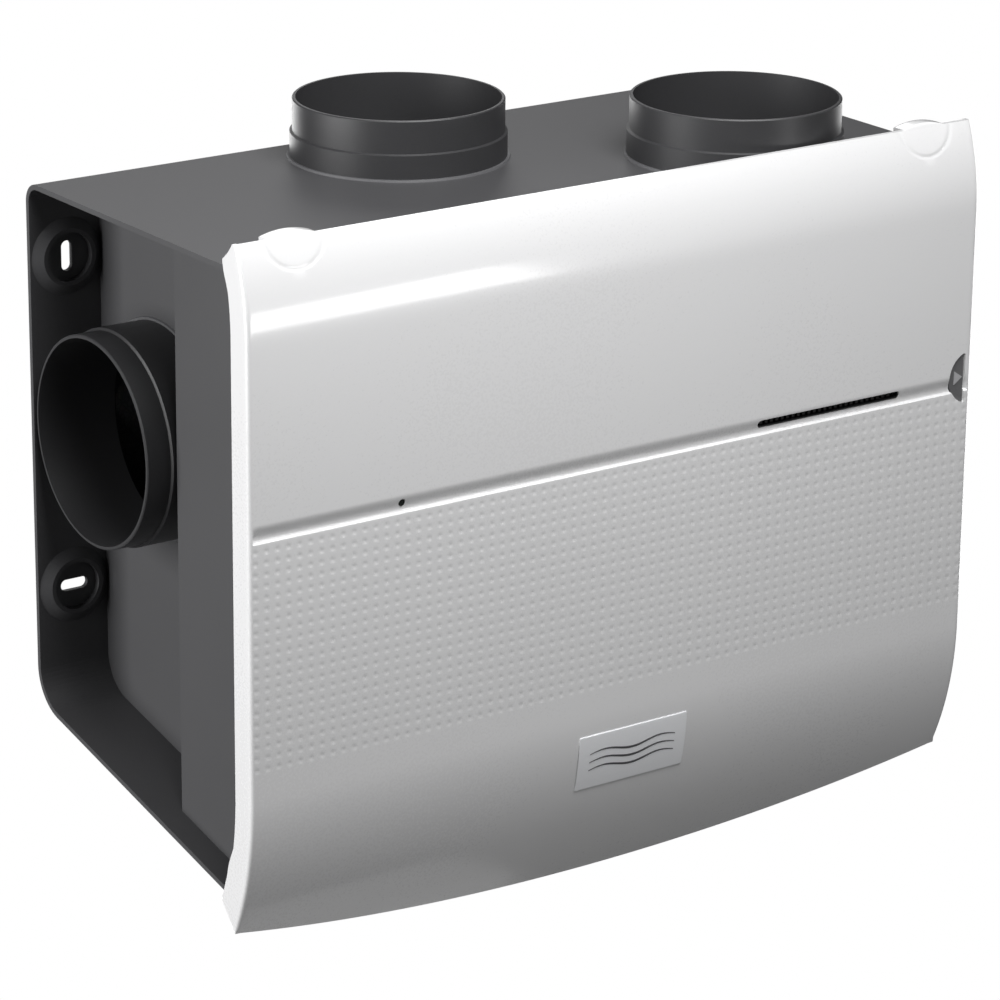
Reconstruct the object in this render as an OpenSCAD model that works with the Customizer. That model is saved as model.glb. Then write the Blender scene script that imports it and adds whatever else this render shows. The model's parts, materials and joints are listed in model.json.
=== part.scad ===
// Wall-hung heat recovery unit with four duct spigots and a tilting front cover.
// Origin: on the wall face, in the middle of the four fixing slots.
// +X is to the right as the unit is looked at, +Y goes into the wall, +Z is up.

/* [Casing] */
// Width of the top, bottom and back plates
casing_w = 490; // [488:1:496]
// Distance from the wall to the front edge of the top plate
casing_d = 238; // [238:1:239]
// Height of the top plate above the fixing centre
casing_top = 147; // [147:0.5:148]
// Depth of the bottom plate's front edge below the fixing centre
casing_low = 221; // [220:0.5:222]
// How far the bottom plate rises per millimetre towards the wall
bottom_slope = 0.2308; // [0.2:0.01:0.24]
// Sheet thickness of the casing
sheet = 3; // [2.5:0.5:3]
// Radius of the upper rear corner
top_corner_r = 12; // [8:1:14]
// Radius of the lower rear corner
low_corner_r = 28; // [20:1:30]
// Half width over the side walls in front of the pockets
side_x = 229; // [228:1:230]
// Half width over the walls at the bottom of the side pockets
pocket_x = 199; // [198:1:200]
// Distance from the wall to the front face of the side pockets
pocket_d = 135; // [134:1:137]

/* [Duct spigots] */
// Outside radius of a spigot, for a 125 mm duct
duct_r = 62; // [61.8:0.1:62]
// Wall thickness of a spigot
duct_wall = 2; // [1.5:0.5:2]
// Radius of the stepped collar at a spigot's foot
collar_r = 63.5; // [63:0.1:64]
// Height of the collar on the top spigots
collar_h = 15; // [12:1:16]
// Length of the straight part that the duct slides over
sleeve_l = 20; // [16:1:22]
// Length of the straight part of the side spigots
side_sleeve_l = 16; // [14:0.5:17]
// Sideways place of the rear top spigot
top_left_x = -34; // [-36:1:-34]
// Distance of the rear top spigot's axis from the wall
top_left_d = 66; // [66:1:68]
// Sideways place of the front top spigot
top_right_x = 132; // [130:1:133]
// Distance of the front top spigot's axis from the wall
top_right_d = 171; // [170:1:171]
// Distance of the side spigots' axis from the wall
side_d = 68; // [67:1:68]
// Height of the side spigots' axis above the fixing centre
side_z = 9; // [5:1:12]

/* [Wall fixing] */
// Half the distance between the left and right fixing slots
fix_x = 221; // [220:1:222]
// Half the distance between the upper and lower fixing slots
fix_z = 100; // [96:1:104]
// Half the width of a fixing slot
slot_r = 3.5; // [3:0.5:4]
// End-to-end length of a fixing slot
slot_l = 18; // [16:1:20]

/* [Front cover] */
// Width of the front cover
cover_w = 508; // [508:1:510]
// Distance from the wall to the cover's flat face
cover_d = 249.5; // [249.5:0.5:251]
// Height of the cover's top edge above the fixing centre
cover_top = 165; // [164:1:166]
// Depth of the cover's lowest point below the fixing centre
cover_low = 256.5; // [255:0.5:258]
// How much higher the cover's lower corners are than its middle
smile_rise = 26; // [24:1:28]
// Wall thickness of the cover
skin = 2.6; // [2.4:0.1:2.8]
// Depth of the cover's side returns
return_d = 16.5; // [16:0.5:17]

/* [Heat exchanger] */
// Side of the square exchanger block
core_side = 140; // [138:1:140]
// Height of the exchanger's axis below the fixing centre
core_drop = 27; // [26:1:28]

/* [Hidden] */
$fn = 64;

gap = 0.3;
cover_curve_top = 113;
cover_curve_low = -147;
cover_r_top = 136;
cover_r_low = 200;
pivot_d = 223;
pivot_z = -211;
front_break_z = -157;
front_low_d = 227;
core_z = -core_drop;
core_front_d = 239;
core_back_d = 52;
filter_in = core_side / 2 + 3;
filter_t = 12;
filter_half = 67;
filter_back_d = 66;
fan_x = 125;
fan_z = -100;
fan_back_d = 46;
fan_front_d = 118;
scroll_r = 53;
impeller_r = 42;
impeller_back_d = 66;
impeller_front_d = 104;
impeller_blades = 24;
shaft_r = 2.5;
foam_front_d = 235.5;
foam_split_d = 214;
inner_ridge_d = cover_d - skin - 2.2;
latch_travel = 2;
notch_r = 16.3;
notch_z = 10;
groove_z = 2.5;
groove_depth = 2.2;
slot_x0 = 95;
slot_x1 = 197;
slot_z = 8;
lamp_x = -155;
lamp_z = 7.5;
tongue_x = 218;

charcoal = [0.2, 0.2, 0.21];
white = [0.93, 0.93, 0.93];
epp = [0.12, 0.12, 0.13];
steel = [0.7, 0.71, 0.72];

// Points of an arc in the Y-Z plane, from angle a0 to a1.
function arc(cy, cz, r, a0, a1, n = 12) =
    [for (i = [0:n]) let (a = a0 + (a1 - a0) * i / n) [cy + r * cos(a), cz + r * sin(a)]];

// The list backwards.
function turned(v) = [for (i = [len(v) - 1:-1:0]) v[i]];

// Extrudes a Y-Z outline along X, or an X-Z outline along Y.
module along_x(x0, x1) translate([x0, 0, 0]) rotate([90, 0, 90]) linear_extrude(x1 - x0) children();
module along_y(y0, y1) translate([0, y1, 0]) rotate([90, 0, 0]) linear_extrude(y1 - y0) children();
module bar_x(y, z, r, x0, x1) translate([x0, y, z]) rotate([0, 90, 0]) cylinder(r = r, h = x1 - x0);
module bar_y(x, z, r, y0, y1) translate([x, y1, z]) rotate([90, 0, 0]) cylinder(r = r, h = y1 - y0);
module bar_z(x, y, r, z0, z1) translate([x, y, z0]) cylinder(r = r, h = z1 - z0);
module block(x0, x1, y0, y1, z0, z1) translate([x0, y0, z0]) cube([x1 - x0, y1 - y0, z1 - z0]);

// The exchanger's own axes: turned 45 degrees about a line along Y.
module in_diamond() translate([0, 0, core_z]) rotate([0, 45, 0]) children();
module both_sides() {
    children();
    mirror([1, 0, 0]) children();
}

// ---- Casing ----

// Underside of the casing at distance d from the wall.
slope_foot = -casing_low + bottom_slope * front_low_d;
function floor_z(y) = slope_foot + bottom_slope * y;
slope_len = sqrt(1 + bottom_slope * bottom_slope);
low_corner_z = slope_foot - bottom_slope * low_corner_r + low_corner_r * slope_len;

// Outline of the top, back and bottom plates, moved inwards by t.
function casing_line(t) = concat(
    [[-casing_d, casing_top - t]],
    arc(-top_corner_r, casing_top - top_corner_r, top_corner_r - t, 90, 0),
    arc(-low_corner_r, low_corner_z, low_corner_r - t, 0, atan(bottom_slope) - 90),
    [[-front_low_d, floor_z(-front_low_d) + t * slope_len]]);

module casing_inside(t, x0, x1) {
    along_x(x0, x1) polygon(concat(casing_line(t), [[-casing_d, front_break_z]]));
}

module slot_hole(x, z, upright) {
    h = slot_l / 2 - slot_r;
    dx = upright ? 0 : h;
    dz = upright ? h : 0;
    for (s = [-1, 1]) bar_y(x + s * dx, z + s * dz, slot_r, -12, 1);
    block(x - dx - (upright ? slot_r : 0), x + dx + (upright ? slot_r : 0), -12, 1,
        z - dz - (upright ? 0 : slot_r), z + dz + (upright ? 0 : slot_r));
}

// The cable gland's own axes, square to the sloping bottom plate.
module in_gland() {
    translate([150, -120, floor_z(-120)]) rotate([atan(bottom_slope), 0, 0]) children();
}

// Raised ring round a fixing slot, cut off where the pocket wall starts.
module slot_ring(z) {
    difference() {
        translate([-fix_x, -sheet, z]) rotate([90, 0, 0]) cylinder(r1 = 23, r2 = 17, h = 4);
        bar_y(-fix_x, z, 14.5, -10, 0);
        block(-pocket_x - gap, 0, -20, 0, z - 30, z + 30);
    }
}

module slot_rings() {
    color(charcoal) both_sides() for (s = [-1, 1]) slot_ring(s * fix_z);
}

module casing_shell() {
    color(charcoal) difference() {
        along_x(-casing_w / 2, casing_w / 2)
            polygon(concat(casing_line(0), turned(casing_line(sheet))));
        for (s = [-1, 1]) {
            slot_hole(s * fix_x, fix_z, true);
            slot_hole(s * fix_x, -fix_z, false);
        }
        bar_z(top_left_x, -top_left_d, duct_r + gap, casing_top - 10, casing_top + 5);
        bar_z(top_right_x, -top_right_d, duct_r + gap, casing_top - 10, casing_top + 5);
        bar_z(0, -120, 10.3, -230, -150);
        in_gland() cylinder(r = 8.3, h = 20, center = true);
    }
}

// Wall that steps in to form the pocket round a side spigot.
module left_side_panel() {
    t = sheet;
    color(charcoal) difference() {
        intersection() {
            translate([0, 0, -240]) linear_extrude(400) polygon([
                [-side_x, -casing_d], [-side_x, -pocket_d], [-pocket_x, -pocket_d],
                [-pocket_x, 0], [-pocket_x + t, 0], [-pocket_x + t, -pocket_d - t],
                [-side_x + t, -pocket_d - t], [-side_x + t, -casing_d]]);
            casing_inside(sheet, -casing_w / 2, 0);
        }
        bar_x(-side_d, side_z, duct_r + gap, -pocket_x - 5, -pocket_x + 10);
    }
}

module right_side_panel() mirror([1, 0, 0]) left_side_panel();

// Prisms that leave windows for the exchanger and the two filters.
module service_windows(y0, y1, clear) {
    in_diamond() {
        block(-core_side / 2 - clear, core_side / 2 + clear, y0, y1,
            -core_side / 2 - clear, core_side / 2 + clear);
        block(-filter_half - clear, filter_half + clear, y0, y1,
            filter_in - clear, filter_in + filter_t + clear);
        block(-filter_in - filter_t - clear, -filter_in + clear, y0, y1,
            -filter_half - clear, filter_half + clear);
    }
}

panel_screw_places = [[-212, 128], [212, 128], [-212, 0], [212, 0], [-212, -140], [212, -140]];

module front_panel() {
    t = 2;
    d = casing_d - gap;
    x = side_x - sheet - gap;
    color(charcoal) difference() {
        along_x(-x, x) polygon([
            [-d, casing_top - sheet - gap], [-d, front_break_z],
            [-front_low_d - gap, -casing_low + sheet + 1.5],
            [-front_low_d + t, -casing_low + sheet + 1.5],
            [-d + t, front_break_z + 1], [-d + t, casing_top - sheet - gap]]);
        service_windows(-casing_d - 5, -foam_front_d, 0.7);
        for (p = panel_screw_places) bar_y(p[0], p[1], 2.1, -casing_d - 1, -foam_front_d);
    }
}

module panel_screws() {
    color(steel) for (p = panel_screw_places) difference() {
        union() {
            bar_y(p[0], p[1], 4, -casing_d - 2, -casing_d + gap);
            bar_y(p[0], p[1], 1.9, -casing_d, -casing_d + 12);
        }
        block(p[0] - 2.5, p[0] + 2.5, -casing_d - 3, -casing_d - 1, p[1] - 0.5, p[1] + 0.5);
        block(p[0] - 0.5, p[0] + 0.5, -casing_d - 3, -casing_d - 1, p[1] - 2.5, p[1] + 2.5);
    }
}

// Blocks on the bottom plate that the cover's two pins turn in.
module hinge_blocks() {
    color(charcoal) both_sides() difference() {
        intersection() {
            block(-244, -side_x - 1, -229, -215, -225, pivot_z + 6);
            casing_inside(sheet, -casing_w / 2, 0);
        }
        bar_x(-pivot_d, pivot_z, 2.5, -250, -220);
    }
}

// ---- Spigots ----

// Spigot along +Z with its foot at z = 0; its flange sits inside the wall.
module spigot(collar, sleeve, hook_turn) {
    in_r = duct_r - duct_wall;
    top = collar + sleeve;
    flange_r = collar_r + 0.9;
    color(charcoal) union() {
        rotate_extrude($fn = 96) polygon([
            [in_r, -sheet - 2], [flange_r, -sheet - 2], [flange_r, -sheet],
            [duct_r, -sheet], [duct_r, 0], [collar_r, 0], [collar_r, collar],
            [duct_r, collar + 0.8], [duct_r, top - 0.6], [duct_r - 0.6, top], [in_r, top]]);
        rotate([0, 0, hook_turn]) translate([in_r - 3.5, -5, top - 12]) difference() {
            cube([4, 10, 5]);
            translate([-1, -1, -1]) cube([3, 12, 4]);
        }
    }
}

// The rear spigot reaches past the rounded edge, so its foot follows that edge.
module spigot_top_left() {
    z0 = casing_top - 9;
    in_r = duct_r - duct_wall;
    color(charcoal) difference() {
        union() {
            translate([top_left_x, -top_left_d, casing_top]) spigot(collar_h, sleeve_l, 260);
            difference() {
                bar_z(top_left_x, -top_left_d, collar_r, z0, casing_top + 1);
                bar_z(top_left_x, -top_left_d, in_r, z0 - 1, casing_top + 2);
                block(-300, 300, -300, -top_corner_r, z0 - 1, casing_top + 0.5);
            }
        }
        along_x(-150, 100) polygon(concat(
            arc(-top_corner_r, casing_top - top_corner_r, top_corner_r, 90, 0),
            [[0, z0 - 2], [-top_corner_r, z0 - 2]]));
    }
}

module spigot_top_right() {
    translate([top_right_x, -top_right_d, casing_top]) spigot(collar_h, sleeve_l, 260);
}

module spigot_left() {
    translate([-pocket_x, -side_d, side_z]) rotate([0, -90, 0]) spigot(30, side_sleeve_l, -37);
}

module spigot_right() mirror([1, 0, 0]) spigot_left();

module seal_ring() {
    rotate_extrude() polygon([[collar_r, 0], [65.4, 0], [64.9, 1.2], [collar_r, 1.2]]);
}

module spigot_seals() {
    color(epp) {
        difference() {
            translate([top_left_x, -top_left_d, casing_top]) seal_ring();
            block(-300, 300, -top_corner_r, 10, casing_top - 1, casing_top + 5);
        }
        translate([top_right_x, -top_right_d, casing_top]) seal_ring();
        both_sides() translate([-pocket_x, -side_d, side_z]) rotate([0, -90, 0]) difference() {
            seal_ring();
            translate([-70, 64, -1]) cube([140, 10, 5]);
            translate([-70, -74, -1]) cube([140, 10, 5]);
        }
    }
}

// ---- Foam air guide ----

module spigot_rebates() {
    for (p = [[top_left_x, -top_left_d], [top_right_x, -top_right_d]])
        bar_z(p[0], p[1], collar_r + 3.5, casing_top - sheet - 2.6, casing_top);
    both_sides() bar_x(-side_d, side_z, collar_r + 3.5, -pocket_x, -pocket_x + sheet + 2.6);
}

module foam_front() {
    color(epp) difference() {
        intersection() {
            block(-side_x + sheet + 1, side_x - sheet - 1, -foam_front_d, -foam_split_d, -230, 160);
            casing_inside(sheet + gap, -300, 300);
            along_x(-300, 300) polygon([[-foam_front_d, 160], [-foam_front_d, front_break_z + 3],
                [-front_low_d + 3.1, 3 - casing_low], [-200, 3 - casing_low], [-200, 160]]);
        }
        service_windows(-250, -200, 0.5);
        bar_z(top_right_x, -top_right_d, duct_r - duct_wall, 88, 160);
        spigot_rebates();
        block(-112, 112, -250, -180, -212, -158);
        for (p = panel_screw_places) bar_y(p[0], p[1], 2.1, -250, -casing_d + 13);
    }
}

left_inlet = [[-190, 138], [27, 138], [27, 105], [-9, 84], [-1.2, 74], [-98, -26],
    [-106, -8], [-190, 88]];
right_inlet = [[190, 138], [33, 138], [33, 105], [9, 84], [1.2, 74], [98, -26],
    [106, -8], [190, 88]];
left_outlet = [[-200, 72], [-200, -52], [-181, -56], [-133, -56], [-104, -30], [-112, -18]];
left_suction = [[-190, -24], [-107, -24], [-100, -27], [-3, -123], [-3, -129], [-76, -129],
    [-76, -158], [-190, -158]];

module foam_body() {
    color(epp) difference() {
        intersection() {
            block(-pocket_x + sheet + gap, pocket_x - sheet - gap, -foam_split_d + gap, 0, -230, 160);
            casing_inside(sheet + gap, -300, 300);
        }
        service_windows(-240, -core_back_d, 0.5);
        along_y(-212, -14) polygon(left_inlet);
        along_y(-212, -14) polygon(right_inlet);
        both_sides() {
            along_y(-128, -8) polygon(left_outlet);
            along_y(-212, -124) polygon(left_suction);
            bar_y(-fan_x, fan_z, scroll_r + 3, -130, -fan_back_d + gap);
            bar_y(-fan_x, fan_z, 20, -60, -fan_back_d + 2.5);
            block(-fan_x - scroll_r - 3, -fan_x - 8, -130, -fan_back_d + gap, fan_z, -40);
        }
        in_diamond() {
            block(-58, 58, -205, -62, 60, 78);
            block(-78, -60, -205, -62, -58, 58);
            block(-60, 60, -48, -12, -80, 80);
            block(58, 100, -48, -12, -18, 18);
            bar_x(-30, 0, 2.9, -66, -50);
        }
        bar_z(top_left_x, -top_left_d, duct_r - duct_wall, 130, 160);
        bar_z(top_right_x, -top_right_d, duct_r - duct_wall, 88, 160);
        spigot_rebates();
        block(-75, 75, -212, -50, -152, -120);
        bar_z(0, -120, 10.6, -230, -140);
        bar_z(0, -120, 14.5, -154.5, -140);
        in_gland() cylinder(r = 14, h = 60, center = true);
        block(-112, 112, -250, -180, -212, -158);
    }
}

// ---- Exchanger ----

module core_block() {
    c = core_side / 2;
    rail = 8;
    pitch = 7;
    color(steel) in_diamond() difference() {
        block(-c + 0.2, c - 0.2, -core_front_d + 8, -core_back_d - 5, -c + 0.2, c - 0.2);
        for (sx = [-1, 1]) for (sz = [-1, 1])
            block(min(sx * c, sx * (c - rail)), max(sx * c, sx * (c - rail)), -250, 0,
                min(sz * c, sz * (c - rail)), max(sz * c, sz * (c - rail)));
        for (y = [-core_front_d + 12:pitch:-core_back_d - 10]) {
            for (s = [-1, 1]) block(-c + 10, c - 10, y, y + 2, s * c - 3, s * c + 3);
            for (s = [-1, 1]) block(s * c - 3, s * c + 3, y + 3.5, y + 5.5, -c + 10, c - 10);
        }
    }
}

module core_frame() {
    c = core_side / 2;
    rail = 8;
    color(epp) in_diamond() {
        block(-c, c, -core_front_d, -core_front_d + 8, -c, c);
        block(-c, c, -core_back_d - 5, -core_back_d - 1, -c, c);
        for (sx = [-1, 1]) for (sz = [-1, 1])
            block(min(sx * c, sx * (c - rail)), max(sx * c, sx * (c - rail)),
                -core_front_d + 7, -core_back_d - 4,
                min(sz * c, sz * (c - rail)), max(sz * c, sz * (c - rail)));
    }
}

// Webbing loop on the exchanger's front cap.
module core_strap() {
    color([0.75, 0.15, 0.12]) {
        block(-10, 10, -core_front_d - 3.5, -core_front_d - 2, -62, 8);
        for (z = [-62, 2]) block(-10, 10, -core_front_d - 3.5, -core_front_d, z, z + 6);
    }
}

module window_gasket() {
    c = core_side / 2;
    color(epp) in_diamond() difference() {
        block(-c - 1.2, c + 6, -casing_d - 0.9, -casing_d + gap, -c - 6, c + 1.2);
        block(-c - 2, c + 1.2, -casing_d - 3, -casing_d + 1, -c - 1.2, c + 2);
    }
}

// ---- Filters ----

module filter_frame_shape() {
    f = filter_half;
    y0 = -casing_d - 1;
    color(epp) difference() {
        union() {
            block(-f, f, y0, -filter_back_d, filter_in, filter_in + filter_t);
            block(-14, 14, y0 - 5, y0, filter_in + 3, filter_in + 9);
        }
        block(-f + 4, f - 4, y0 + 6, -filter_back_d - 4, filter_in - 1, filter_in + filter_t + 1);
        block(-10, 10, y0 - 3, y0 - 1.5, filter_in, filter_in + filter_t);
    }
}

// Pleated paper: a zigzag outline extruded along the filter.
module filter_media_shape() {
    pleats = 18;
    half = filter_half - 4.4;
    step = 2 * half / pleats;
    low = filter_in + 1;
    high = filter_in + filter_t - 2.2;
    zig = [for (i = [0:pleats]) [-half + i * step, i % 2 == 0 ? low : high]];
    color([0.85, 0.88, 0.86]) along_y(-casing_d + 5.4, -filter_back_d - 4.4)
        polygon(concat(zig, turned([for (p = zig) [p[0], p[1] + 1.2]])));
}

module right_filter_frame() in_diamond() filter_frame_shape();
module right_filter_media() in_diamond() filter_media_shape();
module left_filter_frame() mirror([1, 0, 0]) right_filter_frame();
module left_filter_media() mirror([1, 0, 0]) right_filter_media();

// ---- Fans ----

module exhaust_fan_housing() {
    w = 2;
    color(epp) difference() {
        union() {
            bar_y(-fan_x, fan_z, scroll_r, -fan_front_d, -fan_back_d);
            block(-fan_x - scroll_r, -fan_x - 11, -fan_front_d, -fan_back_d, fan_z, -44);
        }
        bar_y(-fan_x, fan_z, scroll_r - w, -fan_front_d + w, -fan_back_d - w);
        block(-fan_x - scroll_r + w, -fan_x - 11 - w, -fan_front_d + w, -fan_back_d - w, fan_z, 0);
        bar_y(-fan_x, fan_z, 32, -fan_front_d - 1, -fan_front_d + 5);
        for (a = [45:90:315])
            bar_y(-fan_x + 14 * cos(a), fan_z + 14 * sin(a), 1.7, -fan_back_d - 5, 0);
    }
}

// Stator and shaft; the shaft is the bearing surface for the impeller.
module exhaust_fan_motor() {
    color(steel) {
        bar_y(-fan_x, fan_z, 19, -impeller_back_d + 1, -fan_back_d - 2);
        bar_y(-fan_x, fan_z, shaft_r, -impeller_back_d - 22, -impeller_back_d + 1);
    }
}

module exhaust_fan_impeller() {
    chord = 11;
    color(epp) difference() {
        union() {
            bar_y(-fan_x, fan_z, impeller_r, -impeller_back_d - 2, -impeller_back_d);
            bar_y(-fan_x, fan_z, 8, -impeller_back_d - 20, -impeller_back_d);
            for (i = [0:impeller_blades - 1])
                translate([-fan_x, 0, fan_z]) rotate([0, i * 360 / impeller_blades, 0])
                    translate([impeller_r - 1.5, 0, 0]) rotate([0, 28, 0])
                        block(-chord, 0, -impeller_front_d, -impeller_back_d - 1, -0.6, 0.6);
            difference() {
                bar_y(-fan_x, fan_z, impeller_r, -impeller_front_d, -impeller_front_d + 2);
                bar_y(-fan_x, fan_z, impeller_r - 10, -impeller_front_d - 1, -impeller_front_d + 3);
            }
        }
        bar_y(-fan_x, fan_z, shaft_r + 0.05, -impeller_front_d - 1, 0);
    }
}

module supply_fan_housing() mirror([1, 0, 0]) exhaust_fan_housing();
module supply_fan_motor() mirror([1, 0, 0]) exhaust_fan_motor();
module supply_fan_impeller() mirror([1, 0, 0]) exhaust_fan_impeller();

module fan_screws() {
    color(steel) both_sides() for (a = [45:90:315]) {
        bar_y(-fan_x + 14 * cos(a), fan_z + 14 * sin(a), 1.5, -fan_back_d - 2, -fan_back_d + 0.2);
        bar_y(-fan_x + 14 * cos(a), fan_z + 14 * sin(a), 2.8, -fan_back_d + 0.2, -fan_back_d + 1.8);
    }
}

// ---- Bypass ----

module bypass_flap() {
    color([0.3, 0.3, 0.32]) translate([0, -30, 0]) in_diamond() {
        block(-57, 57, -16, 16, -1, 1);
        bar_x(0, 0, 2.5, -64, 76);
    }
}

module bypass_actuator() {
    color(epp) translate([0, -30, 0]) in_diamond() difference() {
        block(68, 92, -14, 14, -14, 14);
        bar_x(0, 0, 3, 60, 80);
    }
}

// ---- Condensate ----

module condensate_tray() {
    color(epp) difference() {
        block(-72, 72, -210, -52, -150, -131);
        block(-70, 70, -208, -54, -147.5, -120);
        bar_z(0, -120, 8, -160, -140);
    }
}

module drain_spout() {
    color(epp) difference() {
        union() {
            bar_z(0, -120, 9, -224, -199.5);
            bar_z(0, -120, 10, -199.5, -154);
            bar_z(0, -120, 14, -154, -150.2);
        }
        bar_z(0, -120, 7, -230, -140);
    }
}

// ---- Electronics ----

module board_box() {
    color(epp) difference() {
        block(-105, 105, -226, -186, -207, -162);
        block(-103, 103, -230, -188, -205, -164);
    }
}

module control_board() {
    color([0.05, 0.35, 0.15]) block(-98, 98, -194, -192.4, -201, -168);
    color(epp) for (x = [-70:35:70]) block(x - 8, x + 8, -204, -194, -192, -176);
}

module terminal_block() {
    color([0.1, 0.5, 0.2]) difference() {
        block(79, 98, -207, -194, -200, -170);
        for (z = [-196:5.5:-174]) bar_y(88, z, 1.8, -208, -200);
    }
}

module cable_gland() {
    color(epp) in_gland() difference() {
        union() {
            translate([0, 0, -16]) cylinder(r = 8, h = 30);
            translate([0, 0, -11]) cylinder(r = 11, h = 11, $fn = 6);
            translate([0, 0, sheet]) cylinder(r = 11, h = 6, $fn = 6);
        }
        translate([0, 0, -17]) cylinder(r = 4.5, h = 40);
    }
}

module sensor_board() {
    color([0.05, 0.35, 0.15]) block(120, 172, -casing_d - 1.5, -casing_d + gap, 14, 34);
    color(steel) block(140, 152, -casing_d - 4, -casing_d - 1.5, 18, 28);
}

module status_lamp() {
    color([0.2, 0.7, 0.3])
        block(lamp_x - 3, lamp_x + 3, -casing_d - 1.5, -casing_d + gap, lamp_z - 3, lamp_z + 3);
}

// ---- Front cover ----

// Distance of the cover's face from its flat plane at height z, for a surface t inside it.
function bow(z, t) = z > cover_curve_top
    ? cover_r_top - sqrt(pow(cover_r_top - t, 2) - pow(z - cover_curve_top, 2))
    : z < cover_curve_low
        ? cover_r_low - sqrt(pow(cover_r_low - t, 2) - pow(cover_curve_low - z, 2)) : t;

function face_line(z0, z1, n, t) =
    [for (i = [0:n]) let (z = z0 + (z1 - z0) * i / n) [-cover_d + bow(z, t), z]];

// The face from top to bottom, with the groove across its middle.
function face_with_groove(t) = concat(
    face_line(cover_top, cover_curve_top, 8, t),
    [[-cover_d + t, groove_z + 9], [-cover_d + t + groove_depth, groove_z + 1.5],
        [-cover_d + t, groove_z - 1]],
    face_line(cover_curve_low, -cover_low, 14, t));

function return_rear() = concat(
    [[-cover_d + bow(cover_top, 0) + 4, cover_top], [-225.5, 155]],
    [for (z = [140:-20:-180]) [-cover_d + bow(z, 0) + return_d, z]],
    [[-223.5, -198], [-217.5, -215], [-231, -229.5]]);

module smile() {
    half = cover_w / 2;
    r = (half * half + smile_rise * smile_rise) / (2 * smile_rise);
    bar_y(0, r - cover_low, r, -300, -150, $fn = 360);
}

module front_cover() {
    half = cover_w / 2;
    color(white) difference() {
        union() {
            intersection() {
                along_x(-half, half)
                    polygon(concat(face_with_groove(0), turned(face_with_groove(skin))));
                smile();
            }
            both_sides() along_x(-half, -half + skin)
                polygon(concat(face_line(cover_top, -229, 30, 0.05), turned(return_rear())));
            both_sides() tongue();
        }
        for (x = [slot_x0, slot_x1]) bar_y(x, slot_z, 2.3, -260, -240);
        block(slot_x0, slot_x1, -260, -240, slot_z - 2.3, slot_z + 2.3);
        bar_y(lamp_x, lamp_z, 2.2, -260, -240);
        intersection() {
            bar_y(half, notch_z, notch_r, -260, -cover_d + 2 * skin);
            block(200, half - 4.4, -260, -200, -50, 50);
        }
    }
}

// Thumb tongue that hooks back over the front edge of the top plate.
module tongue() {
    color(white) {
        intersection() {
            bar_y(-tongue_x, 168, 22, -250, -225);
            bar_y(-tongue_x, 138.6, 29, -250, -225);
            union() {
                along_x(-245, -190) polygon(concat(
                    face_line(172, 150, 6, -0.6), turned(face_line(172, 150, 6, skin))));
                block(-245, -190, -238, -229, 161, 172);
            }
        }
        block(-tongue_x - 13, -tongue_x + 13, -233, -229, casing_top + 2, 165);
    }
}

module slot_grille() {
    color([0.08, 0.08, 0.08]) {
        difference() {
            block(slot_x0 - 5, slot_x1 + 5, -inner_ridge_d, -inner_ridge_d + 1.6, 1, 14);
            for (x = [slot_x0:4:slot_x1]) block(x, x + 2, -250, -240, slot_z - 3, slot_z + 3);
        }
    }
}

module light_guide() {
    color([0.8, 0.9, 0.85]) {
        bar_y(lamp_x, lamp_z, 2.1, -247.6, -241);
        bar_y(lamp_x, lamp_z, 4, -inner_ridge_d, -241);
    }
}

// Pins on the cover's lower corners, with the bosses that hold them.
module hinge_pins() {
    color(white) both_sides() {
        bar_x(-pivot_d, pivot_z, 2.45, -cover_w / 2 + skin, -231);
        bar_x(-pivot_d, pivot_z, 4.5, -cover_w / 2 + skin, -245.6);
    }
}

// Blank plate with three engraved lines, bent to the cover's face.
module name_plate() {
    x0 = -32;
    x1 = 45.5;
    z0 = -193;
    z1 = -158.5;
    color([0.9, 0.91, 0.93]) difference() {
        along_x(x0, x1) polygon(concat(
            face_line(z1, z0, 6, -1), turned(face_line(z1, z0, 6, -0.05))));
        for (z = [-181:5:-171]) bar_x(-cover_d + bow(z, -1), z, 0.6, x0 + 10, x0 + 34);
    }
}

// Release button that fills the notch, with a flange behind the cover's skin.
latch_front = -inner_ridge_d + 0.4;
button_front = -cover_d + 1.2;

module latch_button() {
    color([0.33, 0.33, 0.34]) {
        intersection() {
            bar_y(cover_w / 2, notch_z, notch_r - 0.4, button_front, latch_front + 1);
            block(220, cover_w / 2 - 4.8, -260, -200, -50, 50);
        }
        intersection() {
            bar_y(cover_w / 2, notch_z, notch_r + 4, latch_front, latch_front + 2);
            block(220, cover_w / 2 - skin - 0.6, -260, -200, -50, 50);
        }
    }
}

module latch_arrow() {
    color([0.75, 0.75, 0.75]) along_y(button_front - 0.4, button_front)
        polygon([[242, notch_z - 3.7], [242, notch_z + 4.7], [248.3, notch_z + 0.5]]);
}

// Strap on two feet that keeps the button against the cover.
module latch_keeper() {
    y0 = latch_front + 2.3 + latch_travel;
    y1 = y0 + 1.2;
    color(steel) {
        block(233, 239, y0, y1, notch_z - 26, notch_z + 26);
        for (z = [notch_z - 26, notch_z + 23.5]) block(233, 239, -cover_d + skin, y1, z, z + 2.5);
    }
}

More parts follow.
